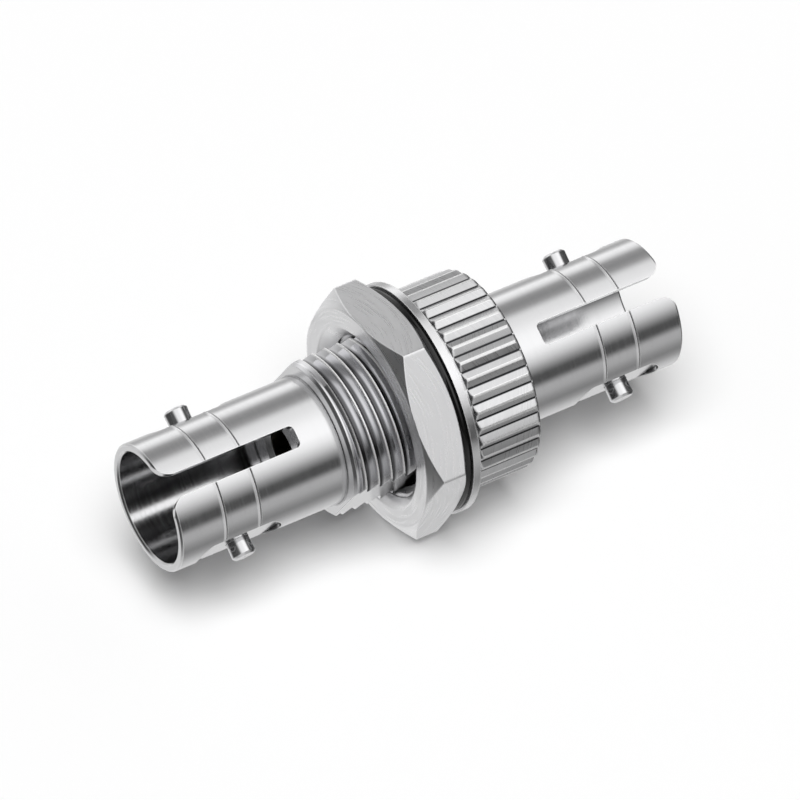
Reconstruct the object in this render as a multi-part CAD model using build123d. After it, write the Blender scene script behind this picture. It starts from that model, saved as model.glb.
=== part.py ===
from build123d import *
import math
import os

# Bayonet fibre optic bulkhead adapter, in millimetres.
# X runs along the axis and the origin is the middle of the alignment sleeve, where two ferrules meet.
# The front end (-X) carries the panel thread, the rear end (+X) carries the knurled collar.
# Pieces are drawn with their keyways straight up (+Z) and are turned together at the end.

# Whole adapter
overall_length = 29.9
keyway_clocking = 33.0        # degrees from +Z towards -Y, as the adapter lies

# Bayonet barrels, the same at both ends
barrel_diameter = 7.0
socket_diameter = 6.06
socket_depth = 7.85
mouth_chamfer = 0.1
scribe_from_mouth = 2.65
scribe_spacing = 2.0
scribe_width = 0.14          # at the barrel's surface
scribe_depth = 0.05

# Keyway slot through the upper wall of each barrel
keyway_width = 1.2
keyway_length = 7.7
keyway_mouth_radius = 0.9
keyway_end_radius = 0.25

# Bayonet pins, pressed into the barrel wall on small milled flats
pin_from_mouth = 3.65
pin_diameter = 1.3
pin_across_tips = 8.4
pin_edge_chamfer = 0.12
pin_seat_in_wall = 0.08       # from the socket wall to the pin's inner end
pin_flat_height = 3.27        # from the adapter's axis
pin_flat_length = 4.9
pin_flat_width = 2.8

# Alignment sleeve and the pocket that holds it
socket_floor_wall = 1.3       # between the socket's floor and the sleeve's pocket
ferrule_diameter = 2.5
sleeve_wall = 0.35
sleeve_slit = 0.4
sleeve_radial_clearance = 0.05
sleeve_end_clearance = 0.1
ferrule_hole_clearance = 0.2
ferrule_lead_in = 0.25

# Panel thread, drawn as rings at the true pitch and depth
thread_diameter = 9.0
thread_pitch = 0.75
thread_depth = 0.46
thread_crest_flat = 0.094
thread_front = -5.2
thread_lead_in = 0.25         # chamfer in front of the first crest
thread_across_flats = 7.55
thread_relief = 0.35          # plain neck in front of the collar

# Knurled collar, pressed over the tail of the front housing
collar_face = 1.06
collar_length = 4.14
collar_diameter = 11.0
collar_front_land = 0.56
collar_front_taper = 0.12
collar_back_chamfer = 0.22
ridge_count = 38
ridge_clocking = 1.6          # degrees from the keyway to the next ridge
groove_depth = 0.2
groove_top_width = 0.76
groove_floor_width = 0.06
tail_diameter = 7.6
tail_length = 3.11
tail_chamfer = 0.2

# Loose hardware on the thread, listed from the collar towards the front
washer_thickness = 0.44
washer_diameter = 12.6
washer_rim_width = 0.95       # from the teeth's roots to the outer edge
washer_tooth_count = 12
washer_gap_width = 1.1
seal_thickness = 0.3
seal_diameter = 12.3
seal_edge_break = 0.1
nut_thickness = 2.32
nut_across_flats = 12.0
nut_corner_angle = 23.7       # degrees from +Z towards -Y
nut_chamfer_angle = 30.0
nut_countersink_diameter = 9.9
nut_thread_clearance = 0.03
loose_ring_clearance = 0.1

# Sizes that follow from the ones above
half_length = overall_length / 2
barrel_radius = barrel_diameter / 2
socket_radius = socket_diameter / 2
socket_floor = half_length - socket_depth
thread_radius = thread_diameter / 2
root_radius = thread_radius - thread_depth
sleeve_outer_radius = ferrule_diameter / 2 + sleeve_wall
pocket_radius = sleeve_outer_radius + sleeve_radial_clearance
pocket_end = socket_floor - socket_floor_wall
sleeve_length = 2 * (pocket_end - sleeve_end_clearance)
ferrule_hole_radius = ferrule_diameter / 2 + ferrule_hole_clearance
collar_radius = collar_diameter / 2
collar_back = collar_face + collar_length
tail_radius = tail_diameter / 2
tail_end = collar_face + tail_length
nut_corner_radius = nut_across_flats / 2 / math.cos(math.radians(30))
reach = overall_length        # longer than anything that a cutter has to pass


def turned(points):
    """Solid of revolution about X from (x, radius) points."""
    return revolve(make_face(Polyline(*points, close=True)), Axis.X)


def disc(start, end, radius):
    """Cylinder along X between two stations."""
    return turned([(start, 0), (start, radius), (end, radius), (end, 0)])


def across_x(sketch, start, end):
    """Extrusion along +X of a sketch drawn on the Y-Z plane."""
    return extrude(Plane.YZ.offset(start) * sketch, amount=end - start)


def barrel_blank(inner_end):
    """Rear barrel from inner_end to its mouth, with its two scribed lines."""
    body = turned([
        (inner_end, 0),
        (inner_end, barrel_radius),
        (half_length - mouth_chamfer, barrel_radius),
        (half_length, barrel_radius - mouth_chamfer),
        (half_length, 0),
    ])
    for line in range(2):
        station = half_length - scribe_from_mouth - line * scribe_spacing
        body -= turned([
            (station - scribe_width, barrel_radius + scribe_depth),
            (station, barrel_radius - scribe_depth),
            (station + scribe_width, barrel_radius + scribe_depth),
        ])
    return body


def keyway_cutter():
    """Slot cutter seen from above: square inner end, mouth corners rounded outwards."""
    half = keyway_width / 2
    inner = half_length - keyway_length
    flare = half_length - keyway_mouth_radius
    wide = half + keyway_mouth_radius
    outline = Polyline(
        (flare, half), (inner, half), (inner, -half), (flare, -half))
    outline += RadiusArc((flare, -half), (half_length, -wide), keyway_mouth_radius)
    outline += Polyline(
        (half_length, -wide), (half_length + 1, -wide), (half_length + 1, wide), (half_length, wide))
    outline += RadiusArc((half_length, wide), (flare, half), keyway_mouth_radius)
    plan = make_face(outline)
    inner_corners = plan.vertices().group_by(Axis.X)[0]
    plan = fillet(inner_corners, keyway_end_radius)
    return extrude(plan, amount=reach)


def pin_flat_cutter(side):
    """Round-ended milled flat under one bayonet pin; side is +1 or -1 along Y."""
    plane = Plane(
        origin=(half_length - pin_from_mouth, side * pin_flat_height, 0),
        x_dir=(1, 0, 0),
        z_dir=(0, side, 0),
    )
    return extrude(plane * SlotOverall(pin_flat_length, pin_flat_width), amount=barrel_diameter)


def pin_body(side, inner, outer):
    """Cylinder of the bayonet pin's diameter between two distances from the axis."""
    plane = Plane(
        origin=(half_length - pin_from_mouth, side * inner, 0),
        x_dir=(1, 0, 0),
        z_dir=(0, side, 0),
    )
    return extrude(plane * Circle(pin_diameter / 2), amount=outer - inner)


def finish_barrel(body):
    """Cut the socket, keyway, pin flats and pin holes of the rear end."""
    body -= turned([
        (socket_floor, 0),
        (socket_floor, socket_radius),
        (half_length - mouth_chamfer, socket_radius),
        (half_length, socket_radius + mouth_chamfer),
        (half_length, 0),
    ])
    body -= keyway_cutter()
    for side in (1, -1):
        body -= pin_flat_cutter(side)
        body -= pin_body(side, socket_radius / 2, barrel_diameter)
    return body


def sleeve_way():
    """Space on the axis: the sleeve's pocket, and a ferrule hole from each socket's floor."""
    half = [
        (pocket_end, pocket_radius),
        (pocket_end, ferrule_hole_radius),
        (socket_floor - ferrule_lead_in, ferrule_hole_radius),
        (socket_floor, ferrule_hole_radius + ferrule_lead_in),
        (socket_floor, 0),
    ]
    return turned([(-x, radius) for x, radius in reversed(half)] + half)


def other_end(shape):
    """The same shape at the front end, with its keyway still up."""
    return mirror(shape, about=Plane.YZ)


def thread_blank():
    """Threaded length of the front housing, with its flat front face, lead-in chamfer and two flats."""
    half_crest = thread_crest_flat / 2
    half_base = half_crest + thread_depth * math.tan(math.radians(30))
    relief = collar_face - thread_relief
    first_crest = thread_front + thread_lead_in
    outline = [(thread_front, 0), (thread_front, thread_radius)]
    outline += [(first_crest + half_crest, thread_radius), (first_crest + half_base, root_radius)]
    crest = first_crest + thread_pitch
    while crest + half_base < relief:
        outline += [(crest - half_base, root_radius), (crest - half_crest, thread_radius)]
        outline += [(crest + half_crest, thread_radius), (crest + half_base, root_radius)]
        crest += thread_pitch
    outline += [(collar_face, root_radius), (collar_face, 0)]
    envelope = turned([
        (thread_front, 0),
        (thread_front, thread_radius - thread_lead_in),
        (first_crest, thread_radius),
        (collar_face, thread_radius),
        (collar_face, 0),
    ])
    flats = across_x(Rectangle(thread_across_flats, thread_diameter + 1), thread_front, collar_face)
    return turned(outline) & envelope & flats


def front_housing():
    """Front barrel, panel thread and the tail that is pressed into the collar."""
    barrel = other_end(finish_barrel(barrel_blank(-thread_front)))
    tail = turned([
        (collar_face, 0),
        (collar_face, tail_radius),
        (tail_end - tail_chamfer, tail_radius),
        (tail_end, tail_radius - tail_chamfer),
        (tail_end, 0),
    ])
    return barrel + thread_blank() + tail - sleeve_way()


def knurled_collar():
    """Collar blank with straight V-shaped flutes."""
    floor_radius = collar_radius - groove_depth
    proud = groove_depth                        # how far the cutter stands outside the ridges
    slope = (groove_top_width - groove_floor_width) / 2 / groove_depth
    outer_half = groove_top_width / 2 + slope * proud
    groove = Polygon(
        (floor_radius, -groove_floor_width / 2),
        (collar_radius + proud, -outer_half),
        (collar_radius + proud, outer_half),
        (floor_radius, groove_floor_width / 2),
        align=None,
    )
    step = 360 / ridge_count
    section = Circle(collar_radius)
    for index in range(ridge_count):
        section -= Rot(Z=90 + ridge_clocking + (index + 0.5) * step) * groove
    envelope = turned([
        (collar_face, 0),
        (collar_face, floor_radius),
        (collar_face + collar_front_land, floor_radius),
        (collar_face + collar_front_land + collar_front_taper, collar_radius),
        (collar_back - collar_back_chamfer, collar_radius),
        (collar_back, collar_radius - collar_back_chamfer),
        (collar_back, 0),
    ])
    return across_x(section, collar_face, collar_back) & envelope


def rear_housing():
    """Knurled collar and rear barrel in one piece."""
    body = knurled_collar() + finish_barrel(barrel_blank(collar_back))
    return body - disc(collar_face, tail_end, tail_radius) - sleeve_way()


def bayonet_pin(side):
    """Rear pin, with its outer edge broken."""
    pin = pin_body(side, socket_radius + pin_seat_in_wall, pin_across_tips / 2)
    tip_edge = pin.edges().sort_by(Axis.Y)[-1 if side > 0 else 0]
    return chamfer(tip_edge, pin_edge_chamfer)


def split_sleeve():
    """Springy tube that lines up the two ferrules, slit along its whole length."""
    section = Circle(sleeve_outer_radius) - Circle(ferrule_diameter / 2)
    section -= Pos(0, -sleeve_outer_radius) * Rectangle(sleeve_slit, 2 * sleeve_outer_radius)
    return across_x(section, -sleeve_length / 2, sleeve_length / 2)


def lock_washer():
    """Lock washer with teeth round its bore, seated on the collar."""
    bore = thread_radius + loose_ring_clearance
    tooth_length = washer_diameter / 2 - washer_rim_width - bore
    section = Circle(washer_diameter / 2) - Circle(bore)
    gaps = PolarLocations(bore, washer_tooth_count)
    section -= gaps * Rectangle(2 * tooth_length, washer_gap_width)
    return across_x(section, collar_face - washer_thickness, collar_face)


def seal_ring():
    """Flat rubber ring between the washer and the nut."""
    back = collar_face - washer_thickness
    front = back - seal_thickness
    outer = seal_diameter / 2
    bore = thread_radius + loose_ring_clearance
    return turned([
        (front, bore),
        (front, outer - seal_edge_break),
        (front + seal_edge_break, outer),
        (back - seal_edge_break, outer),
        (back, outer - seal_edge_break),
        (back, bore),
    ])


def hex_nut():
    """Hexagon nut, chamfered and countersunk on both faces."""
    back = collar_face - washer_thickness - seal_thickness
    front = back - nut_thickness
    face_radius = nut_across_flats / 2
    drop = (nut_corner_radius - face_radius) * math.tan(math.radians(nut_chamfer_angle))
    bore = thread_radius + nut_thread_clearance
    sink = nut_countersink_diameter / 2 - bore
    section = RegularPolygon(nut_corner_radius, 6, rotation=90 + nut_corner_angle)
    envelope = turned([
        (front, 0),
        (front, face_radius),
        (front + drop, nut_corner_radius),
        (back - drop, nut_corner_radius),
        (back, face_radius),
        (back, 0),
    ])
    hole = turned([
        (front, 0),
        (front, bore + sink),
        (front + sink, bore),
        (back - sink, bore),
        (back, bore + sink),
        (back, 0),
    ])
    return (across_x(section, front, back) & envelope) - hole


pieces = {
    "front_housing": front_housing(),
    "rear_housing": rear_housing(),
    "split_sleeve": split_sleeve(),
}
for side, place in ((1, "high"), (-1, "low")):
    pieces["rear_bayonet_pin_" + place] = bayonet_pin(side)
    pieces["front_bayonet_pin_" + place] = other_end(bayonet_pin(side))
pieces = {name: Rot(X=keyway_clocking) * shape for name, shape in pieces.items()}
pieces["lock_washer"] = lock_washer()
pieces["seal_ring"] = seal_ring()
pieces["hex_nut"] = hex_nut()

os.makedirs("parts", exist_ok=True)
for name, shape in pieces.items():
    export_step(shape, "parts/" + name + ".step")
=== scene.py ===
import math

import bmesh
import bpy
from mathutils import Matrix, Vector


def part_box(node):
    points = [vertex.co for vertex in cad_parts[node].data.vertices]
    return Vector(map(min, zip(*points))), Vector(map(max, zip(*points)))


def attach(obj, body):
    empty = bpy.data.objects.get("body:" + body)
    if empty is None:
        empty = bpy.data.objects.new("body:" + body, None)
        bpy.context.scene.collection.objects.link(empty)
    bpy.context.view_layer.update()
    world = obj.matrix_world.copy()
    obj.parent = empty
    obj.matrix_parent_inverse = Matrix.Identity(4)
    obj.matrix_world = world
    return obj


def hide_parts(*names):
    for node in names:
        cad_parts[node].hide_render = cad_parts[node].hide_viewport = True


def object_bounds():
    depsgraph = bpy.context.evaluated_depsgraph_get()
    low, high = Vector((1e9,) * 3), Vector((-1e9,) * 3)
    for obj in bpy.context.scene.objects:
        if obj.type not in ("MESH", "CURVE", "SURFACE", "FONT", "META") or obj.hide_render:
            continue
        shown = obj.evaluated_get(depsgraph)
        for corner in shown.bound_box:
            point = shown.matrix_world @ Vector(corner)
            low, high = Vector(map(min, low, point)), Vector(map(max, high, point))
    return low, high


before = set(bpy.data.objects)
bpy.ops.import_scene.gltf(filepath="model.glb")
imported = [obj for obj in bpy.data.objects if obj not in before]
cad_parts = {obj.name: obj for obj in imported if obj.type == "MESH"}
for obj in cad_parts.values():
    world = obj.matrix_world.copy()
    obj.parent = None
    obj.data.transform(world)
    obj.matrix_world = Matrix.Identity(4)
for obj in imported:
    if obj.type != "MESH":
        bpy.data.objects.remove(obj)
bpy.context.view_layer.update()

# Bulkhead adapter with two bayonet barrels, lying on a white table.
# Shapes are worked out in millimetres and stored in metres, X along the axis as in the frame.

mm = 0.001
axis = Vector((1, 0, 0))
turnSteps = 288               # facets round a turned surface
softCorner = {
    "least": 8,               # degrees, smaller turns are left as they are
    "longest": 0.4,           # share of a side that an arc may take
    "steps": 3,
}
smoothing = {
    "sharpAngle": 32,         # degrees between faces that keep their edge
    "endFace": 0.999,         # along the axis, for a flat end
    "sideways": 0.04,         # across the axis, the most for a turned face
    "flatHeight": 0.002,      # mm off a milled flat
    "flatFacing": 0.9999,     # along a milled flat's direction
}


# mesh helpers

def addMesh(name, points, faces, unit=mm):
    mesh = bpy.data.meshes.new(name)
    mesh.from_pydata([tuple(unit * value for value in point) for point in points], [], faces)
    mesh.validate()
    piece = bpy.data.objects.new(name, mesh)
    bpy.context.scene.collection.objects.link(piece)
    return piece


def aroundX(x, radius, angle):
    # angle is measured from +Z towards -Y
    return (x, -radius * math.sin(angle), radius * math.cos(angle))


def softened(outline, radius):
    # corners of a closed outline become small arcs, but those of short sides stay sharp
    steps = softCorner["steps"]
    result = []
    count = len(outline)
    for index in range(count):
        corner = Vector(outline[index])
        before = Vector(outline[index - 1]) - corner
        after = Vector(outline[(index + 1) % count]) - corner
        turn = math.pi - before.angle(after)
        shorter = min(before.length, after.length)
        if turn < math.radians(softCorner["least"]) or shorter < 2 * radius:
            result.append(tuple(corner))
            continue
        cut = min(radius * math.tan(turn / 2), softCorner["longest"] * shorter)
        start = corner + before.normalized() * cut
        end = corner + after.normalized() * cut
        for step in range(steps + 1):
            t = step / steps
            result.append(tuple((1 - t) ** 2 * start + 2 * t * (1 - t) * corner + t ** 2 * end))
    return result


def softMin(a, b, width):
    # the smaller of two heights, with the edge between them rounded
    gap = max(width - abs(a - b), 0) / width
    return min(a, b) - gap * gap * width / 4


def lathe(name, outline, steps=turnSteps, first=0.0, limit=None):
    # closed (x, radius) outline turned about X; limit gives the largest radius at an angle
    points = []
    for step in range(steps):
        angle = first + math.tau * step / steps
        for x, radius in outline:
            points.append(aroundX(x, limit(radius, angle) if limit else radius, angle))
    count = len(outline)
    faces = []
    for step in range(steps):
        near = step * count
        far = (step + 1) % steps * count
        for index in range(count):
            after = (index + 1) % count
            faces.append((near + index, near + after, far + after, far + index))
    return oriented(addMesh(name, points, faces))


def prism(name, outline, start, end, place):
    # closed 2D outline between two heights; place turns (across, along, height) into a point
    count = len(outline)
    points = [place(a, b, start) for a, b in outline] + [place(a, b, end) for a, b in outline]
    faces = [tuple(range(count)), tuple(range(count, 2 * count))]
    for index in range(count):
        after = (index + 1) % count
        faces.append((index, after, count + after, count + index))
    return oriented(addMesh(name, points, faces))


def oriented(piece):
    # faces all point outwards, which booleans rely on
    work = bmesh.new()
    work.from_mesh(piece.data)
    bmesh.ops.recalc_face_normals(work, faces=work.faces)
    if work.calc_volume(signed=True) < 0:
        bmesh.ops.reverse_faces(work, faces=work.faces)
    work.to_mesh(piece.data)
    work.free()
    return piece


def combine(piece, tool, operation):
    # boolean whose result is stored in the piece's own mesh
    modifier = piece.modifiers.new(operation.lower(), "BOOLEAN")
    modifier.operation = operation
    modifier.solver = "MANIFOLD"
    modifier.object = tool
    view = bpy.context.evaluated_depsgraph_get()
    mesh = bpy.data.meshes.new_from_object(piece.evaluated_get(view))
    piece.modifiers.clear()
    piece.data = mesh
    bpy.data.objects.remove(tool)


def trueNormals(piece, isFlat):
    # turned faces get the exact round normal and milled flats their own, the rest is smoothed
    mesh = piece.data
    mesh.shade_smooth()
    mesh.set_sharp_from_angle(angle=math.radians(smoothing["sharpAngle"]))
    normals = [Vector(corner.vector) for corner in mesh.corner_normals]
    narrow = math.cos(math.tau / turnSteps)
    for face in mesh.polygons:
        spots = [mesh.vertices[corner].co for corner in face.vertices]
        outs = [Vector((0, spot.y, spot.z)).normalized() for spot in spots]
        radial = Vector((0, face.center.y, face.center.z)).normalized()
        around = axis.cross(radial)
        flatEnd = abs(face.normal.x) > smoothing["endFace"]
        turned = abs(face.normal.dot(around)) < smoothing["sideways"]
        turned = turned and all(out.dot(radial) > narrow for out in outs)
        if isFlat(face):
            for loop in face.loop_indices:
                normals[loop] = face.normal.copy()
        elif turned or flatEnd:
            rise = 0.0 if flatEnd else face.normal.dot(radial)
            for loop, out in zip(face.loop_indices, outs):
                normals[loop] = Vector((face.normal.x, 0, 0)) + rise * out
    mesh.normals_split_custom_set(normals)
    return piece


# material helpers

def paint(code):
    # sRGB hex code to linear colour
    channels = [int(code[index:index + 2], 16) / 255 for index in (1, 3, 5)]
    linear = [c / 12.92 if c <= 0.04045 else ((c + 0.055) / 1.055) ** 2.4 for c in channels]
    return (*linear, 1.0)


def addNode(tree, kind, settings=None, links=None):
    # settings fill attributes or input sockets, links fill input sockets
    node = tree.nodes.new(kind)
    for key, value in (settings or {}).items():
        if isinstance(key, str) and hasattr(node, key):
            setattr(node, key, value)
        else:
            node.inputs[key].default_value = value
    for key, socket in (links or {}).items():
        tree.links.new(socket, node.inputs[key])
    return node


def newMaterial(name):
    material = bpy.data.materials.new(name)
    material.use_nodes = True
    tree = material.node_tree
    tree.nodes.clear()
    return material, tree


def finished(tree, shader):
    addNode(tree, "ShaderNodeOutputMaterial", links={"Surface": shader.outputs[0]})


def dress(piece, body, materials, slot, *nodes):
    # materials and body of a finished piece
    # slot is not used
    piece.data.materials.clear()
    for material in materials:
        piece.data.materials.append(material)
    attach(piece, body)
    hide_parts(*nodes)
    return piece


# pitch and depth are the tool marks' in mm, stretch is their length over their width, bevel is the
# roundness of edges in mm, two numbers give the painted highlight on edges, its strength and the openness
# where it starts, and crest and root are pairs of radii in mm over which the painted highlight on crests
# and the painted shade in roots rise
nickelFinish = {
    "highlightColour": "#ffffff",      # painted highlight: cut edges lightened to white
    "edgeRoughness": 0.5,
    "edgeReach": 0.07,            # mm
    "edgeSpan": 0.25,             # how far openness falls from no painted highlight to full
    "shadeColour": "#343436",   # painted shade in corners
    "creviceReach": 0.12,         # mm
    "creviceSpan": (0.85, 0.5),   # openness where the painted shade starts and where it is full
    "noiseSpan": (0.3, 0.7),
    "roughSpan": (0.8, 1.25),     # share of the roughness between and on the tool marks
    "samples": 2,
    "turned": {
        "colour": "#d2d2d3", "roughness": 0.16, "pitch": 0.1, "depth": 0.0016, "stretch": 60,
        "bevel": 0.03, "highlightStrength": 1.0, "highlightStart": 0.92},
    "threaded": {
        "colour": "#d6d6d8", "roughness": 0.07, "pitch": 0.1, "depth": 0.0006, "stretch": 60,
        "bevel": 0.01, "highlightStrength": 0.8, "highlightStart": 0.9, "crest": (4.41, 4.48), "root": (4.13, 4.03)},
    "knurled": {
        "colour": "#cdcdce", "roughness": 0.3, "pitch": 0.1, "depth": 0.0003, "stretch": 60,
        "bevel": 0.02, "highlightStrength": 0.8, "highlightStart": 0.9, "crest": (5.482, 5.496), "root": (5.325, 5.305)},
    "milled": {
        "colour": "#e8e8e9", "roughness": 0.3, "pitch": 0.12, "depth": 0.0015, "stretch": 14,
        "bevel": 0.02, "highlightStrength": 0.5, "highlightStart": 0.85},
    "stamped": {
        "colour": "#d6d6d7", "roughness": 0.2, "pitch": 0.3, "depth": 0.006, "stretch": 1.5,
        "bevel": 0.03, "highlightStrength": 0.8, "highlightStart": 0.92},
    "ground": {
        "colour": "#d2d2d3", "roughness": 0.12, "pitch": 0.1, "depth": 0.0008, "stretch": 20,
        "bevel": 0.03, "highlightStrength": 0.6, "highlightStart": 0.9},
}


def byRadius(tree, radius, limits):
    # mask that rises between two radii in mm
    none, full = limits
    return addNode(tree, "ShaderNodeMapRange", {"From Min": none * mm, "From Max": full * mm},
                   {"Value": radius.outputs["Value"]})


def nickelPlate(name, finish):
    # nickel plate over cut brass: bright, slightly soft reflections with the tool's lines under them
    # real tool marks are 0.03 mm apart and are drawn at least three times coarser so that they show
    material, tree = newMaterial(name)
    place = addNode(tree, "ShaderNodeTexCoord")
    split = addNode(tree, "ShaderNodeSeparateXYZ", links={0: place.outputs["Object"]})
    flat = addNode(tree, "ShaderNodeCombineXYZ", links={"Y": split.outputs["Y"], "Z": split.outputs["Z"]})
    radius = addNode(tree, "ShaderNodeVectorMath", {"operation": "LENGTH"}, {0: flat.outputs[0]})
    feed = addNode(tree, "ShaderNodeMath", {"operation": "ADD"},
                   {0: split.outputs["X"], 1: radius.outputs["Value"]})
    marks = addNode(tree, "ShaderNodeCombineXYZ",
                    links={"X": feed.outputs[0], "Y": split.outputs["Y"], "Z": split.outputs["Z"]})
    across = 1 / (finish["pitch"] * mm)
    along = across / finish["stretch"]
    space = addNode(tree, "ShaderNodeMapping", {"Scale": (across, along, along)},
                    {"Vector": marks.outputs[0]})
    lines = addNode(tree, "ShaderNodeTexNoise", {"Scale": 1.0, "Detail": 3.0, "Roughness": 0.6},
                    {"Vector": space.outputs[0]})
    # edges, where the painted highlight goes, are found from inside the metal, corners, where the painted
    # shade goes, from outside
    samples = nickelFinish["samples"]
    edge = addNode(tree, "ShaderNodeAmbientOcclusion",
                   {"samples": samples, "inside": True, "only_local": True,
                    "Distance": nickelFinish["edgeReach"] * mm})
    # painted highlight along the edges, rising as the openness inside the metal falls
    start = finish["highlightStart"]
    paintedHighlight = addNode(tree, "ShaderNodeMapRange",
                   {"From Min": start, "From Max": start - nickelFinish["edgeSpan"],
                    "To Max": finish["highlightStrength"]},
                   {"Value": edge.outputs["AO"]})
    if "crest" in finish:
        # painted highlight on the crests and painted shade in the roots, by radius
        crest = byRadius(tree, radius, finish["crest"])
        paintedHighlight = addNode(tree, "ShaderNodeMath", {"operation": "MAXIMUM"},
                       {0: crest.outputs[0], 1: paintedHighlight.outputs[0]})
        paintedShade = byRadius(tree, radius, finish["root"])
    else:
        # painted shade in corners and gaps, where the metal is closed in from outside
        corner = addNode(tree, "ShaderNodeAmbientOcclusion",
                         {"samples": samples, "only_local": True,
                          "Distance": nickelFinish["creviceReach"] * mm})
        none, full = nickelFinish["creviceSpan"]
        paintedShade = addNode(tree, "ShaderNodeMapRange", {"From Min": none, "From Max": full},
                       {"Value": corner.outputs["AO"]})
    # painted shade: corners and roots mixed towards dark grey
    shaded = addNode(tree, "ShaderNodeMix",
                     {"data_type": "RGBA", 6: paint(finish["colour"]),
                      7: paint(nickelFinish["shadeColour"])},
                     {0: paintedShade.outputs[0]})
    # painted highlight: edges and crests mixed towards white
    tint = addNode(tree, "ShaderNodeMix", {"data_type": "RGBA", 7: paint(nickelFinish["highlightColour"])},
                   {0: paintedHighlight.outputs[0], 6: shaded.outputs[2]})
    low, high = nickelFinish["noiseSpan"]
    smooth, coarse = nickelFinish["roughSpan"]
    rough = addNode(tree, "ShaderNodeMapRange",
                    {"From Min": low, "From Max": high, "To Min": finish["roughness"] * smooth,
                     "To Max": finish["roughness"] * coarse},
                    {"Value": lines.outputs["Fac"]})
    softer = addNode(tree, "ShaderNodeMix", {3: nickelFinish["edgeRoughness"]},
                     {0: paintedHighlight.outputs[0], 2: rough.outputs[0]})
    rounded = addNode(tree, "ShaderNodeBevel", {"samples": samples, "Radius": finish["bevel"] * mm})
    bump = addNode(tree, "ShaderNodeBump", {"Strength": 1.0, "Distance": finish["depth"] * mm},
                   {"Height": lines.outputs["Fac"], "Normal": rounded.outputs[0]})
    shader = addNode(tree, "ShaderNodeBsdfPrincipled", {"Metallic": 1.0},
                     {"Base Color": tint.outputs[2], "Roughness": softer.outputs[0],
                      "Normal": bump.outputs[0]})
    finished(tree, shader)
    return material


rubberFinish = {
    "colour": "#050505",
    "roughness": 0.2,
    "index": 1.52,
    "grain": 0.12,                # mm
    "grainDepth": 0.01,           # mm
    "grainStrength": 0.4,
}


def nitrileRubber():
    # moulded black nitrile rubber: deep black with a dull sheen and a faint grain
    material, tree = newMaterial("nitrileRubber")
    place = addNode(tree, "ShaderNodeTexCoord")
    grain = addNode(tree, "ShaderNodeTexNoise", {"Scale": 1 / (rubberFinish["grain"] * mm), "Detail": 2.0},
                    {"Vector": place.outputs["Object"]})
    bump = addNode(tree, "ShaderNodeBump",
                   {"Strength": rubberFinish["grainStrength"], "Distance": rubberFinish["grainDepth"] * mm},
                   {"Height": grain.outputs["Fac"]})
    shader = addNode(tree, "ShaderNodeBsdfPrincipled",
                     {"Base Color": paint(rubberFinish["colour"]), "Roughness": rubberFinish["roughness"],
                      "IOR": rubberFinish["index"]},
                     {"Normal": bump.outputs[0]})
    finished(tree, shader)
    return material


bronzeFinish = {
    "colour": "#b9a58e",
    "roughness": (0.18, 0.34),
    "lines": (800.0, 12000.0, 12000.0),   # per metre along and across the axis
}


def springBronze():
    # rolled phosphor bronze strip: a warm grey shine with fine rolling lines along the axis
    material, tree = newMaterial("springBronze")
    place = addNode(tree, "ShaderNodeTexCoord")
    space = addNode(tree, "ShaderNodeMapping", {"Scale": bronzeFinish["lines"]},
                    {"Vector": place.outputs["Object"]})
    lines = addNode(tree, "ShaderNodeTexNoise", {"Scale": 1.0, "Detail": 2.0}, {"Vector": space.outputs[0]})
    smooth, coarse = bronzeFinish["roughness"]
    rough = addNode(tree, "ShaderNodeMapRange", {"To Min": smooth, "To Max": coarse},
                    {"Value": lines.outputs["Fac"]})
    shader = addNode(tree, "ShaderNodeBsdfPrincipled",
                     {"Base Color": paint(bronzeFinish["colour"]), "Metallic": 1.0},
                     {"Roughness": rough.outputs[0]})
    finished(tree, shader)
    return material


turnedNickel = nickelPlate("turnedNickel", nickelFinish["turned"])
threadedNickel = nickelPlate("threadedNickel", nickelFinish["threaded"])
knurledNickel = nickelPlate("knurledNickel", nickelFinish["knurled"])
milledNickel = nickelPlate("milledNickel", nickelFinish["milled"])
stampedNickel = nickelPlate("stampedNickel", nickelFinish["stamped"])
groundNickel = nickelPlate("groundNickel", nickelFinish["ground"])
blackRubber = nitrileRubber()
bronze = springBronze()
print("materials ready")


# barrels: both ends have the same bayonet mouth

barrel = {
    "radius": 3.5,
    "socketRadius": 3.03,
    "socketDepth": 7.85,
    "rimBreak": 0.1,
    "scribes": (2.65, 4.65),      # from the mouth
    "scribeWidth": 0.055,         # half the line's width at the surface
    "scribeDepth": 0.035,
    "burrWidth": 0.13,            # metal thrown up along the line's front edge
    "burrHeight": 0.04,
    "keywayClocking": 33.0,       # degrees from +Z towards -Y
    "keywayWidth": 1.2,
    "keywayLength": 7.7,
    "keywayFlare": 0.9,
    "keywayCorner": 0.25,
    "keywayHeights": (1.0, 6.0),  # from the axis, where the cutter starts and ends
    "keywayAhead": 1.0,           # how far the cutter stands out in front
    "keywayWiden": 0.4,           # and how much wider it is there on each side
    "pinFromMouth": 3.65,
    "pinRadius": 0.65,
    "pinHoleFloor": 1.5,
    "pinFlatHeight": 3.27,
    "pinFlatLength": 4.9,
    "pinFlatWidth": 2.8,
    "cutterTop": 5.0,
    "edgeBreak": 0.05,
    "flareSteps": 12,
    "cornerSteps": 5,
    "flatSteps": 24,
    "holeSteps": 48,
}
bore = {
    "ferruleRadius": 1.45,
    "ferruleLeadIn": 0.25,
    "pocketRadius": 1.65,         # the sleeve floats in this pocket
    "pocketEnd": 5.8,
}
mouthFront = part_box("front_housing")[0].x / mm
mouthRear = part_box("rear_housing")[1].x / mm


def outwards(turn):
    # away from the axis, at a turn from the keyway
    return Vector(aroundX(0, 1, math.radians(barrel["keywayClocking"]) + turn))


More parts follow.
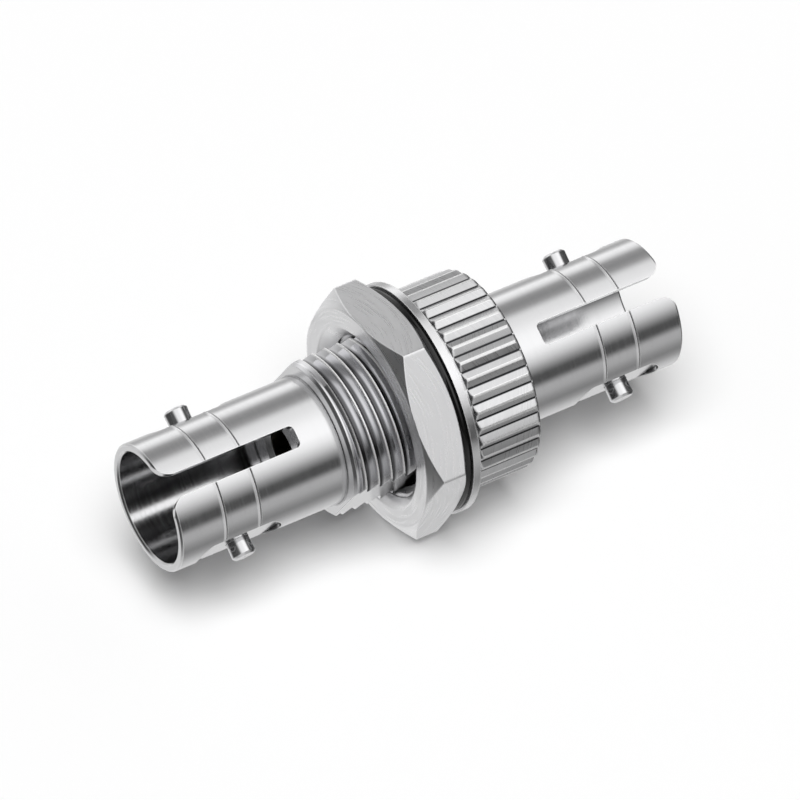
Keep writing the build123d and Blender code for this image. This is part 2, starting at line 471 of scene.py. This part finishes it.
def barrelOutside(mouth, inner):
    # (x, radius) points from the mouth's rim to the inner end
    way = math.copysign(1, mouth)
    points = [(mouth, barrel["radius"] - barrel["rimBreak"]),
              (mouth - way * barrel["rimBreak"], barrel["radius"])]
    for distance in barrel["scribes"]:
        station = mouth - way * distance
        line = [(station - barrel["scribeWidth"] - barrel["burrWidth"], barrel["radius"]),
                (station - barrel["scribeWidth"], barrel["radius"] + barrel["burrHeight"]),
                (station, barrel["radius"] - barrel["scribeDepth"]),
                (station + barrel["scribeWidth"], barrel["radius"])]
        points += line if way < 0 else line[::-1]
    points.append((inner, barrel["radius"]))
    return points


def barrelInside(mouth):
    # (x, radius) points from the sleeve's pocket out to the mouth's rim
    way = math.copysign(1, mouth)
    floor = mouth - way * barrel["socketDepth"]
    return [(way * bore["pocketEnd"], bore["pocketRadius"]),
            (way * bore["pocketEnd"], bore["ferruleRadius"]),
            (floor - way * bore["ferruleLeadIn"], bore["ferruleRadius"]),
            (floor, bore["ferruleRadius"] + bore["ferruleLeadIn"]),
            (floor, barrel["socketRadius"]),
            (mouth - way * barrel["rimBreak"], barrel["socketRadius"]),
            (mouth, barrel["socketRadius"] + barrel["rimBreak"])]


def keywayOutline():
    # slot seen from above, (distance from the mouth, across); the mouth's corners are rounded outwards
    half = barrel["keywayWidth"] / 2
    flare = barrel["keywayFlare"]
    corner = barrel["keywayCorner"]
    side = [(-barrel["keywayAhead"], half + flare + barrel["keywayWiden"]), (0.0, half + flare)]
    steps = barrel["flareSteps"]
    for step in range(1, steps + 1):
        angle = math.radians(90 * step / steps)
        side.append((flare - flare * math.cos(angle), half + flare - flare * math.sin(angle)))
    side.append((barrel["keywayLength"] - corner, half))
    steps = barrel["cornerSteps"]
    for step in range(1, steps + 1):
        angle = math.radians(90 * step / steps)
        side.append((barrel["keywayLength"] - corner + corner * math.sin(angle),
                     half - corner + corner * math.cos(angle)))
    return side + [(x, -y) for x, y in reversed(side)]


def pinFlatOutline():
    # round-ended slot, (along, across)
    radius = barrel["pinFlatWidth"] / 2
    straight = barrel["pinFlatLength"] / 2 - radius
    steps = barrel["flatSteps"]
    points = []
    for end in (1, -1):
        for step in range(steps + 1):
            angle = math.radians(-90 + 180 * step / steps)
            points.append((end * (straight + radius * math.cos(angle)), end * radius * math.sin(angle)))
    return points


def cutBarrel(body, mouth):
    # keyway, the two milled pin flats and the pin holes
    way = math.copysign(1, mouth)
    top = barrel["cutterTop"]
    steps = barrel["holeSteps"]

    def placed(turn):
        up = outwards(turn)
        side = axis.cross(up)
        return lambda along, across, height: tuple(
            Vector((mouth - way * along, 0, 0)) + side * across + up * height)

    combine(body, prism("keywayCutter", keywayOutline(), *barrel["keywayHeights"], placed(0)), "DIFFERENCE")
    for turn in (math.pi / 2, -math.pi / 2):
        place = placed(turn)
        slot = [(barrel["pinFromMouth"] + along, across) for along, across in pinFlatOutline()]
        combine(body, prism("flatCutter", slot, barrel["pinFlatHeight"], top, place), "DIFFERENCE")
        hole = [(barrel["pinFromMouth"] + barrel["pinRadius"] * math.cos(math.tau * step / steps),
                 barrel["pinRadius"] * math.sin(math.tau * step / steps)) for step in range(steps)]
        combine(body, prism("holeCutter", hole, barrel["pinHoleFloor"], top, place), "DIFFERENCE")


# front housing with its right-hand panel thread

thread = {
    "radius": 4.5,
    "pitch": 0.75,
    "depth": 0.46,
    "crestShare": 0.12,           # part of the pitch that is crest
    "grooveCurve": 1.7,           # 1 is a straight V, more is a rounder groove
    "front": -5.2,
    "lipFace": 4.15,              # radius of the flat front face
    "lip": 4.3,                   # radius of the plain land in front of the first turn
    "lipWidth": 0.1,
    "lipBack": 0.13,              # length of the slope from that land down to the root
    "leadIn": 0.25,
    "overlap": 0.02,              # how far the helix sinks into the core
    "trimDepth": 0.3,             # how far the helix is kept below the root
    "runOut": 0.3,
    "acrossFlats": 7.55,
    "flatAhead": 1.0,             # how far the flats' cutter stands out in front
    "flatTop": 2.0,               # and how thick it is
    "flatHalf": 4.0,              # half its width
    "relief": 0.71,               # the last turn runs out before here
    "shoulder": 1.06,
    "phase": 0.55,                # where the first crest starts, in turns
    "clear": 0.01,                # keeps the end faces out of the threaded finish
    "coreShare": 0.97,            # of the root's radius, a facet's middle lies a little inside it
    "steps": 180,                 # round the axis
    "pitchSteps": 24,             # along one pitch
}
tail = {"radius": 3.8, "end": 4.17, "chamfer": 0.2}
rootRadius = thread["radius"] - thread["depth"]


def milledFlat(face):
    # the pins' flats and the thread's two flats all face away from the axis on the same two sides
    out = outwards(math.pi / 2)
    height = abs(face.center.dot(out)) / mm
    flats = (barrel["pinFlatHeight"], thread["acrossFlats"] / 2)
    onFlat = any(abs(height - flat) < smoothing["flatHeight"] for flat in flats)
    return onFlat and abs(face.normal.dot(out)) > smoothing["flatFacing"]


def threadProfile(inner, outer):
    # radii along one pitch of thread: narrow crests with rounded grooves between
    count = thread["pitchSteps"]
    half = thread["crestShare"] / 2
    radii = []
    for step in range(count):
        share = step / count - 0.5
        climb = min((0.5 - abs(share)) / (0.5 - half), 1)
        radii.append(inner + (outer - inner) * climb ** thread["grooveCurve"])
    return radii


def threadedRod(name, inner, outer, start, end):
    # right-hand helical surface whose grid follows the thread, closed by flat ends
    steps = thread["steps"]
    profile = threadProfile(inner, outer)
    count = len(profile)
    pitch = thread["pitch"]
    margin = 1e-6                 # stations closer to an end than this are left out
    points, faces, columns = [(start, 0, 0), (end, 0, 0)], [], []

    def radiusAt(x, turn):
        place = (x / pitch - thread["phase"] - turn + 0.5) % 1 * count
        low = int(place) % count
        return profile[low] + (profile[(low + 1) % count] - profile[low]) * (place % 1)

    for step in range(steps):
        turn = step / steps
        angle = math.tau * turn
        first = math.ceil((start / pitch - thread["phase"] - turn) * count + margin)
        last = math.floor((end / pitch - thread["phase"] - turn) * count - margin)
        column = {"start": len(points)}
        points.append(aroundX(start, radiusAt(start, turn), angle))
        for label in range(first, last + 1):
            column[label] = len(points)
            x = (label / count + turn + thread["phase"]) * pitch
            points.append(aroundX(x, profile[(label + count // 2) % count], angle))
        column["end"] = len(points)
        points.append(aroundX(end, radiusAt(end, turn), angle))
        columns.append(column)
    # the last column is the first one again, with its stations a whole turn on
    columns.append({label - count if isinstance(label, int) else label: spot
                    for label, spot in columns[0].items()})
    for near, far in zip(columns, columns[1:]):
        nearLabels = sorted(label for label in near if isinstance(label, int))
        farLabels = sorted(label for label in far if isinstance(label, int))
        low = max(nearLabels[0], farLabels[0])
        high = min(nearLabels[-1], farLabels[-1])
        for label in range(low, high):
            faces.append((near[label], near[label + 1], far[label + 1], far[label]))
        rim = [near["start"]] + [near[label] for label in nearLabels if label <= low]
        rim += [far[label] for label in reversed(farLabels) if label <= low] + [far["start"]]
        faces.append(tuple(rim))
        rim = [near["end"]] + [near[label] for label in reversed(nearLabels) if label >= high]
        rim += [far[label] for label in farLabels if label >= high] + [far["end"]]
        faces.append(tuple(rim))
        faces.append((0, near["start"], far["start"]))
        faces.append((1, near["end"], far["end"]))
    return oriented(addMesh(name, points, faces))


def frontHousing():
    lipStart = thread["front"] + thread["lip"] - thread["lipFace"]
    lipEnd = lipStart + thread["lipWidth"]
    outline = barrelOutside(mouthFront, thread["front"])
    outline += [(thread["front"], thread["lipFace"]),
                (lipStart, thread["lip"]),
                (lipEnd, thread["lip"]),
                (lipEnd + thread["lipBack"], rootRadius),
                (thread["shoulder"], rootRadius),
                (thread["shoulder"], tail["radius"]),
                (tail["end"] - tail["chamfer"], tail["radius"]),
                (tail["end"], tail["radius"] - tail["chamfer"]),
                (tail["end"], bore["pocketRadius"])]
    outline += barrelInside(mouthFront)
    body = lathe("frontHousing", softened(outline, barrel["edgeBreak"]))

    ridge = threadedRod("ridge", rootRadius - thread["overlap"], thread["radius"],
                        lipStart, thread["relief"])
    trimmed = rootRadius - thread["trimDepth"]
    envelope = lathe("envelope", [(lipStart, trimmed),
                                  (lipStart, thread["lip"]),
                                  (lipEnd, thread["lip"]),
                                  (lipEnd + thread["leadIn"], thread["radius"]),
                                  (thread["relief"] - thread["runOut"], thread["radius"]),
                                  (thread["relief"], thread["radius"] - thread["runOut"]),
                                  (thread["relief"], trimmed)], turnSteps // 2)
    combine(ridge, envelope, "INTERSECT")
    combine(body, ridge, "UNION")
    low = thread["acrossFlats"] / 2
    high = low + thread["flatTop"]
    ahead = thread["front"] - thread["flatAhead"]
    slab = [(ahead, low), (thread["shoulder"], low), (thread["shoulder"], high), (ahead, high)]
    for turn in (math.pi / 2, -math.pi / 2):
        up = outwards(turn)

        def place(x, height, across, up=up):
            return tuple(Vector((x, 0, 0)) + up * height + axis.cross(up) * across)

        cutter = prism("flatCutter", slab, -thread["flatHalf"], thread["flatHalf"], place)
        combine(body, cutter, "DIFFERENCE")
    cutBarrel(body, mouthFront)
    return trueNormals(body, milledFlat)


front = dress(frontHousing(), "housing", [turnedNickel, threadedNickel],
              "nickel_plated_housing", "front_housing")
threadStart = thread["front"] + thread["clear"]
threadEnd = thread["shoulder"] - thread["clear"]
threadFloor = rootRadius * thread["coreShare"]
for face in front.data.polygons:
    onThread = threadStart < face.center.x / mm < threadEnd and face.center.yz.length > threadFloor * mm
    if onThread and not milledFlat(face):
        face.material_index = 1
print("front housing ready")


# rear housing: knurled collar and barrel

collar = {
    "face": 1.06,
    "length": 4.14,
    "radius": 5.5,
    "frontLand": 0.53,
    "frontTaper": 0.3,            # length of the ridges' rounded front ends
    "ridges": 38,
    "ridgeClocking": 1.6,         # degrees from the keyway to the next ridge
    "grooveDepth": 0.2,
    "grooveTop": 0.78,
    "grooveFloor": 0.06,
    "edge": 0.04,                 # rounding of the ridges' edges
    "endEdge": 0.22,              # height of the rounding at the back
    "endSlope": 1.6,              # its length over its height
    "blend": 0.03,                # rounding where the ridges' ends are turned down
    "sideShare": 0.45,            # of a side, the most that a rounded corner may take
    "webBack": 0.05,              # where the wall between barrel and collar ends, from the back
    "webFront": 0.45,             # and where it starts
    "webOverlap": 0.2,            # how far it sinks into the collar
    "neckGap": 0.1,               # between the neck and the collar's bore
    "clear": 0.05,                # keeps the land and the ridges' feet out of the knurled finish
    "clearBack": 0.1,
}


def ridgeSection():
    # corners of every ridge of the collar as (angle, radius), from groove to groove
    floor = collar["radius"] - collar["grooveDepth"]
    points = []
    step = 360 / collar["ridges"]
    for index in range(collar["ridges"]):
        middle = math.radians(barrel["keywayClocking"] + collar["ridgeClocking"] + index * step)
        half = math.radians(step / 2)
        topHalf = half - collar["grooveTop"] / 2 / collar["radius"]
        floorHalf = half - collar["grooveFloor"] / 2 / floor
        flat = []
        for angle, radius in ((-half, floor), (-floorHalf, floor), (-topHalf, collar["radius"]),
                              (topHalf, collar["radius"]), (floorHalf, floor), (half, floor)):
            flat.append((middle + angle, radius))
        points.append(flat)
    return points


def roundedRidge(flat, edge):
    # corners of one ridge eased, in (arc length, radius) space, then back to angles
    scale = collar["radius"]
    line = [Vector((angle * scale, radius)) for angle, radius in flat]
    eased = [line[0]]
    for index in range(1, len(line) - 1):
        corner = line[index]
        before = line[index - 1] - corner
        after = line[index + 1] - corner
        cut = min(edge, collar["sideShare"] * before.length, collar["sideShare"] * after.length)
        start = corner + before.normalized() * cut
        end = corner + after.normalized() * cut
        for step in range(4):
            t = step / 3
            eased.append((1 - t) ** 2 * start + 2 * t * (1 - t) * corner + t ** 2 * end)
        if index == 2:
            for step in range(1, 4):
                eased.append(line[2].lerp(line[3], step / 4))
    return [(point.x / scale, point.y) for point in eased]


def knurledCollar(name):
    section = []
    for flat in ridgeSection():
        section += roundedRidge(flat, collar["edge"])
    floor = collar["radius"] - collar["grooveDepth"]
    back = collar["face"] + collar["length"]
    land = collar["face"] + collar["frontLand"]
    full = land + collar["frontTaper"]
    # rows of points along the axis, close together where the ridges' ends are rounded
    shares = (1.3, 1.15, 1, 0.85, 0.7, 0.55, 0.4, 0.25, 0.12, 0)
    stations = [collar["face"], collar["face"] + 0.04, land - 0.05, land - 0.01]
    stations += [land + collar["frontTaper"] * (step / 24) ** 1.5 for step in range(25)]
    stations += [full + (back - collar["endEdge"] * collar["endSlope"] - full) * step / 6
                 for step in range(1, 7)]
    stations += [back - collar["endEdge"] * share for share in shares]

    def ceiling(x):
        # the ridges are rounded off in front, down to the land, and at the back
        climb = min(max((x - land) / collar["frontTaper"], 0), 1)
        rise = floor + (collar["grooveDepth"] + collar["blend"]) * math.sqrt(1 - (1 - climb) ** 2)
        rest = min((back - x) / collar["endEdge"] / collar["endSlope"], 1)
        bow = 1 - math.sqrt(1 - (1 - rest) ** 2)
        drop = collar["radius"] + collar["blend"] - (collar["endEdge"] + collar["blend"]) * bow
        return max(min(rise, drop), floor)

    inner = tail["radius"]
    points = []
    for x in stations:
        for angle, radius in section:
            points.append(aroundX(x, softMin(radius, ceiling(x), collar["blend"]), angle))
    count = len(section)
    rows = len(stations)
    faces = []
    for row in range(rows - 1):
        for index in range(count):
            after = (index + 1) % count
            faces.append((row * count + index, row * count + after,
                          (row + 1) * count + after, (row + 1) * count + index))
    base = len(points)
    for x in (stations[0], stations[-1]):
        for angle, _ in section:
            points.append(aroundX(x, inner, angle))
    for index in range(count):
        after = (index + 1) % count
        faces.append((index, after, base + after, base + index))
        faces.append(((rows - 1) * count + index, (rows - 1) * count + after,
                      base + count + after, base + count + index))
        faces.append((base + index, base + after, base + count + after, base + count + index))
    return oriented(addMesh(name, points, faces))


def rearHousing():
    back = collar["face"] + collar["length"]
    knurl = knurledCollar("rearHousing")
    outer = tail["radius"] + collar["webOverlap"]
    neck = tail["radius"] - collar["neckGap"]
    outline = barrelOutside(mouthRear, back - collar["webBack"])
    outline += [(back - collar["webBack"], outer),
                (back - collar["webFront"], outer),
                (back - collar["webFront"], neck),
                (tail["end"], neck),
                (tail["end"], bore["pocketRadius"])]
    outline += barrelInside(mouthRear)
    shell = lathe("shell", softened(outline, barrel["edgeBreak"]))
    combine(knurl, shell, "UNION")
    cutBarrel(knurl, mouthRear)
    return trueNormals(knurl, milledFlat)


rear = dress(rearHousing(), "housing", [turnedNickel, knurledNickel],
             "nickel_plated_housing", "rear_housing")
knurlStart = collar["face"] + collar["frontLand"] + collar["clear"]
knurlEnd = collar["face"] + collar["length"] - collar["clearBack"]
knurlFloor = collar["radius"] - collar["grooveDepth"] - collar["clear"]
for face in rear.data.polygons:
    if face.center.yz.length > knurlFloor * mm and knurlStart < face.center.x / mm < knurlEnd:
        face.material_index = 1
print("rear housing ready")


# bayonet pins

pin = {
    "inner": 3.11,                # heights from the axis
    "tip": 4.2,
    "chamfer": 0.12,
    "taper": 0.03,                # the inner end is this much thinner
    "centre": 0.02,               # radius of the small middle face of each end
    "edge": 0.05,
    "steps": 64,
    "sharpAngle": 20,             # degrees
}


def bayonetPin(name, mouth, turn):
    way = math.copysign(1, mouth)
    up = outwards(turn)
    side = axis.cross(up)
    centre = Vector((mouth - way * barrel["pinFromMouth"], 0, 0))
    thick = barrel["pinRadius"]
    profile = softened([(pin["inner"], pin["centre"]), (pin["inner"], thick - pin["taper"]),
                        (pin["tip"] - pin["chamfer"], thick),
                        (pin["tip"], thick - pin["chamfer"]), (pin["tip"], pin["centre"])], pin["edge"])
    steps = pin["steps"]
    points = []
    for step in range(steps):
        angle = math.tau * step / steps
        spoke = axis * math.cos(angle) + side * math.sin(angle)
        points += [tuple(centre + up * height + spoke * radius) for height, radius in profile]
    count = len(profile)
    faces = []
    for step in range(steps):
        near = step * count
        far = (step + 1) % steps * count
        for index in range(count - 1):
            faces.append((near + index, near + index + 1, far + index + 1, far + index))
    faces.append(tuple(step * count for step in range(steps)))
    faces.append(tuple(step * count + count - 1 for step in range(steps)))
    piece = oriented(addMesh(name, points, faces))
    piece.data.shade_smooth()
    piece.data.set_sharp_from_angle(angle=math.radians(pin["sharpAngle"]))
    return piece


for end, mouth in (("front", mouthFront), ("rear", mouthRear)):
    for height, turn in (("high", math.pi / 2), ("low", -math.pi / 2)):
        node = end + "_bayonet_pin_" + height
        middle = (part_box(node)[0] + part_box(node)[1]) / 2
        if outwards(turn).dot(middle) < 0:
            turn = -turn
        name = end + "BayonetPin" + height.capitalize()
        dress(bayonetPin(name, mouth, turn), "housing", [groundNickel], "nickel_plated_pin", node)
print("bayonet pins ready")


# hexagon nut

nut = {
    "acrossFlats": 12.0,
    "cornerAngle": 23.7,
    "chamferAngle": 30.0,
    "countersinkRadius": 4.95,
    "sinkEdge": 0.02,             # half the broken edge between sink and face
    "boreRadius": 4.1,
    "grooveRadius": 4.56,
    "grooveOverlap": 0.03,        # how far the groove's cutter reaches inside the bore
    "grooveBeyond": 0.5,          # and past the nut's faces
    "chamferBeyond": 0.06,        # how far the chamfer runs below the corners
    "chamferSteps": 26,
    "steps": 720,
    "edge": 0.05,
    "sharpAngle": 28,             # degrees
}


def hexNut():
    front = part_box("hex_nut")[0].x / mm
    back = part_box("hex_nut")[1].x / mm
    apothem = nut["acrossFlats"] / 2
    corner = apothem / math.cos(math.radians(30))
    steep = math.tan(math.radians(nut["chamferAngle"]))
    drop = (corner - apothem) * steep + nut["chamferBeyond"]

    def hexagon(radius, angle):
        # distance to the two nearest flats, their corner slightly rounded
        turn = (angle - math.radians(nut["cornerAngle"] + 30)) % math.radians(60)
        near = apothem / math.cos(turn)
        other = apothem / math.cos(turn - math.radians(60))
        return softMin(radius, softMin(near, other, nut["edge"]), nut["edge"])

    sink = nut["countersinkRadius"] - nut["boreRadius"]
    edge = nut["sinkEdge"]
    half = [(front + sink, nut["boreRadius"]), (front + edge, nut["countersinkRadius"] - edge),
            (front, nut["countersinkRadius"] + edge)]
    # rings of points on the face, close together at the chamfer
    half += [(front, apothem + inset) for inset in (-0.9, -0.5, -0.2, -0.05, -0.02)]
    steps = nut["chamferSteps"]
    half += [(front + drop * step / steps, apothem + drop * step / steps / steep)
             for step in range(1, steps + 1)]
    middle = (front + back) / 2
    half.append(((front + drop + middle) / 2, corner + 0.3))   # past the corners, hexagon trims it
    outline = half + [(2 * middle - x, radius) for x, radius in reversed(half)]
    body = lathe("hexNut", outline, nut["steps"], math.radians(nut["cornerAngle"]), hexagon)
    groove = threadedRod("groove", nut["boreRadius"] - nut["grooveOverlap"], nut["grooveRadius"],
                         front - nut["grooveBeyond"], back + nut["grooveBeyond"])
    combine(body, groove, "DIFFERENCE")
    body.data.shade_smooth()
    body.data.set_sharp_from_angle(angle=math.radians(nut["sharpAngle"]))
    return body


dress(hexNut(), "nut", [milledNickel], "nickel_plated_nut", "hex_nut")
print("nut ready")


# seal ring, lock washer and sleeve keep their modelled shape

keptFinish = {"seal_ring": blackRubber, "lock_washer": stampedNickel, "split_sleeve": bronze}
for node, material in keptFinish.items():
    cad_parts[node].data.materials.clear()
    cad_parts[node].data.materials.append(material)


# the camera's view, then table, reflections and lamps

view = {
    "azimuth": -30.93,
    "elevation": 43.73,
    "lens": 500.0,
    "frameWidth": 41.03,           # mm seen at the object
    "aimUp": 0.2,                  # mm, so that the object sits as it does in the photograph
    "aimRight": 0.005,
    "sensor": 36.0,                # mm
    "nearest": 0.01,               # m
    "farthest": 10.0,
}

studio = {
    "tableDrop": 0.02,             # mm below the lowest point
    "tableSize": 2.0,              # m
    "tableColour": "#fbfbfb",
    "tentRadius": 0.25,            # m
    "tentSteps": 180,
    "sunLevel": 0.83,              # share of the table's light, from a wide soft source overhead
    "sunWidth": 44.0,              # degrees
    "sunLean": 22.0,               # degrees from overhead, towards the camera's side
    "worldLevel": 0.20,            # share of the table's light, from all round
}

# what the metal mirrors round the axis: degrees from +Z towards -Y, and brightness
reflections = [
    (-180, 0.72), (-164, 0.80), (-150, 0.74), (-118, 0.80), (-103, 0.52), (-93, 0.62), (-81, 1.38),
    (-70, 1.20), (-56, 0.42), (-44, 0.34), (-33, 0.44), (-21, 1.10), (-8, 1.18), (16, 1.45), (38, 1.50),
    (52, 1.25), (64, 0.88), (76, 0.42), (87, 0.10), (100, 0.10), (111, 0.60), (124, 0.56), (136, 0.40),
    (148, 0.29), (160, 0.42), (172, 0.62), (180, 0.72),
]

# how that changes along the axis: distance over tent radius, share of the level above, and added light
reach = [
    (-1.6, 0.04, 0.06), (-1.1, 0.06, 0.08), (-0.75, 0.35, 0.30), (-0.5, 0.50, 0.48), (-0.05, 0.55, 0.48),
    (0.15, 0.95, 0.05), (0.25, 1.0, 0.0), (0.6, 1.0, 0.0), (0.85, 0.40, 0.05), (1.1, 0.06, 0.06),
    (1.6, 0.04, 0.06),
]


def buildTable():
    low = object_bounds()[0].z - studio["tableDrop"] * mm
    half = studio["tableSize"] / 2
    corners = [(-half, -half, low), (half, -half, low), (half, half, low), (-half, half, low)]
    piece = addMesh("table", corners, [(0, 1, 2, 3)], unit=1)
    material, tree = newMaterial("whiteTable")
    shader = addNode(tree, "ShaderNodeBsdfDiffuse", {"Color": paint(studio["tableColour"])})
    finished(tree, shader)
    piece.data.materials.append(material)
    piece.visible_glossy = False


def levelRamp(tree, stops, position):
    # grey ramp from (position, level) stops; its output is scaled back to the true level
    ramp = addNode(tree, "ShaderNodeValToRGB", links={0: position})
    ends = ramp.color_ramp.elements
    ends.remove(ends[-1])
    strongest = max(level for _, level in stops)
    for index, (place, level) in enumerate(stops):
        stop = ends[0] if index == 0 else ends.new(place)
        stop.position = place
        stop.color = (level / strongest, level / strongest, level / strongest, 1)
    scaled = addNode(tree, "ShaderNodeMath", {"operation": "MULTIPLY", 1: strongest}, {0: ramp.outputs[0]})
    return scaled.outputs[0]


def buildTent():
    # closed glowing drum round the object, seen in the metal alone
    steps = studio["tentSteps"]
    radius = studio["tentRadius"]
    longest = reach[-1][0]
    half = longest * radius
    points = [(-half, 0, 0), (half, 0, 0)]
    for x in (-half, half):
        for step in range(steps):
            points.append(aroundX(x, radius, math.tau * step / steps))
    faces = []
    for step in range(steps):
        near = 2 + step
        far = 2 + (step + 1) % steps
        faces.append((near, far, steps + far, steps + near))
        faces.append((0, near, far))
        faces.append((1, steps + near, steps + far))
    piece = addMesh("tent", points, faces, unit=1)
    material, tree = newMaterial("tentLight")
    place = addNode(tree, "ShaderNodeTexCoord")
    split = addNode(tree, "ShaderNodeSeparateXYZ", links={0: place.outputs["Object"]})
    flipped = addNode(tree, "ShaderNodeMath", {"operation": "MULTIPLY", 1: -1.0}, {0: split.outputs["Y"]})
    angle = addNode(tree, "ShaderNodeMath", {"operation": "ARCTAN2"},
                    {0: flipped.outputs[0], 1: split.outputs["Z"]})
    turn = addNode(tree, "ShaderNodeMapRange", {"From Min": -math.pi, "From Max": math.pi},
                   {"Value": angle.outputs[0]})
    along = addNode(tree, "ShaderNodeMapRange", {"From Min": -half, "From Max": half},
                    {"Value": split.outputs["X"]})
    around = levelRamp(tree, [((degrees + 180) / 360, level) for degrees, level in reflections],
                       turn.outputs[0])
    share = levelRamp(tree, [(0.5 + 0.5 * x / longest, level) for x, level, _ in reach], along.outputs[0])
    added = levelRamp(tree, [(0.5 + 0.5 * x / longest, level) for x, _, level in reach], along.outputs[0])
    total = addNode(tree, "ShaderNodeMath", {"operation": "MULTIPLY_ADD"}, {0: around, 1: share, 2: added})
    glow = addNode(tree, "ShaderNodeEmission", {"Color": (1, 1, 1, 1)}, {"Strength": total.outputs[0]})
    finished(tree, glow)
    piece.data.materials.append(material)
    piece.visible_camera = False
    piece.visible_diffuse = False
    piece.visible_shadow = False
    piece.visible_transmission = False
    piece.visible_volume_scatter = False


def buildWorld():
    world = bpy.data.worlds.new("studio")
    bpy.context.scene.world = world
    world.use_nodes = True
    tree = world.node_tree
    tree.nodes.clear()
    rays = addNode(tree, "ShaderNodeLightPath")
    seen = addNode(tree, "ShaderNodeMath", {"operation": "MAXIMUM"},
                   {0: rays.outputs["Is Camera Ray"], 1: rays.outputs["Is Glossy Ray"]})
    either = addNode(tree, "ShaderNodeMath", {"operation": "MAXIMUM"},
                     {0: seen.outputs[0], 1: rays.outputs["Is Transmission Ray"]})
    strength = addNode(tree, "ShaderNodeMapRange", {"To Min": studio["worldLevel"], "To Max": 1.0},
                       {"Value": either.outputs[0]})
    light = addNode(tree, "ShaderNodeBackground", {"Color": (1, 1, 1, 1)},
                    {"Strength": strength.outputs[0]})
    addNode(tree, "ShaderNodeOutputWorld", links={"Surface": light.outputs[0]})


def buildSun():
    # wide overhead light, a little from the camera's side, for the soft shadow on the table
    lamp = bpy.data.lights.new("overhead", "SUN")
    lamp.angle = math.radians(studio["sunWidth"])
    lamp.energy = studio["sunLevel"] * math.pi / math.cos(math.radians(studio["sunLean"]))
    piece = bpy.data.objects.new("overhead", lamp)
    piece.rotation_euler = (math.radians(studio["sunLean"]), 0, math.radians(view["azimuth"]))
    piece.visible_glossy = False
    bpy.context.scene.collection.objects.link(piece)


buildTable()
buildTent()
buildWorld()
buildSun()
print("studio ready")


# camera at the photograph's angle

def buildCamera():
    azimuth = math.radians(view["azimuth"])
    elevation = math.radians(view["elevation"])
    forward = Vector((-math.sin(azimuth) * math.cos(elevation),
                      math.cos(azimuth) * math.cos(elevation),
                      -math.sin(elevation)))
    right = Vector((math.cos(azimuth), math.sin(azimuth), 0))
    up = right.cross(forward)
    data = bpy.data.cameras.new("camera")
    data.lens = view["lens"]
    data.sensor_width = view["sensor"]
    distance = view["frameWidth"] * view["lens"] / data.sensor_width
    aim = right * view["aimRight"] + up * view["aimUp"]
    piece = bpy.data.objects.new("camera", data)
    piece.matrix_world = Matrix.Translation((aim - forward * distance) * mm) @ Matrix(
        (right, up, -forward)).transposed().to_4x4()
    data.clip_start = view["nearest"]
    data.clip_end = view["farthest"]
    bpy.context.scene.collection.objects.link(piece)
    bpy.context.scene.camera = piece


buildCamera()
bpy.context.scene.view_settings.view_transform = "Standard"
print("camera ready")
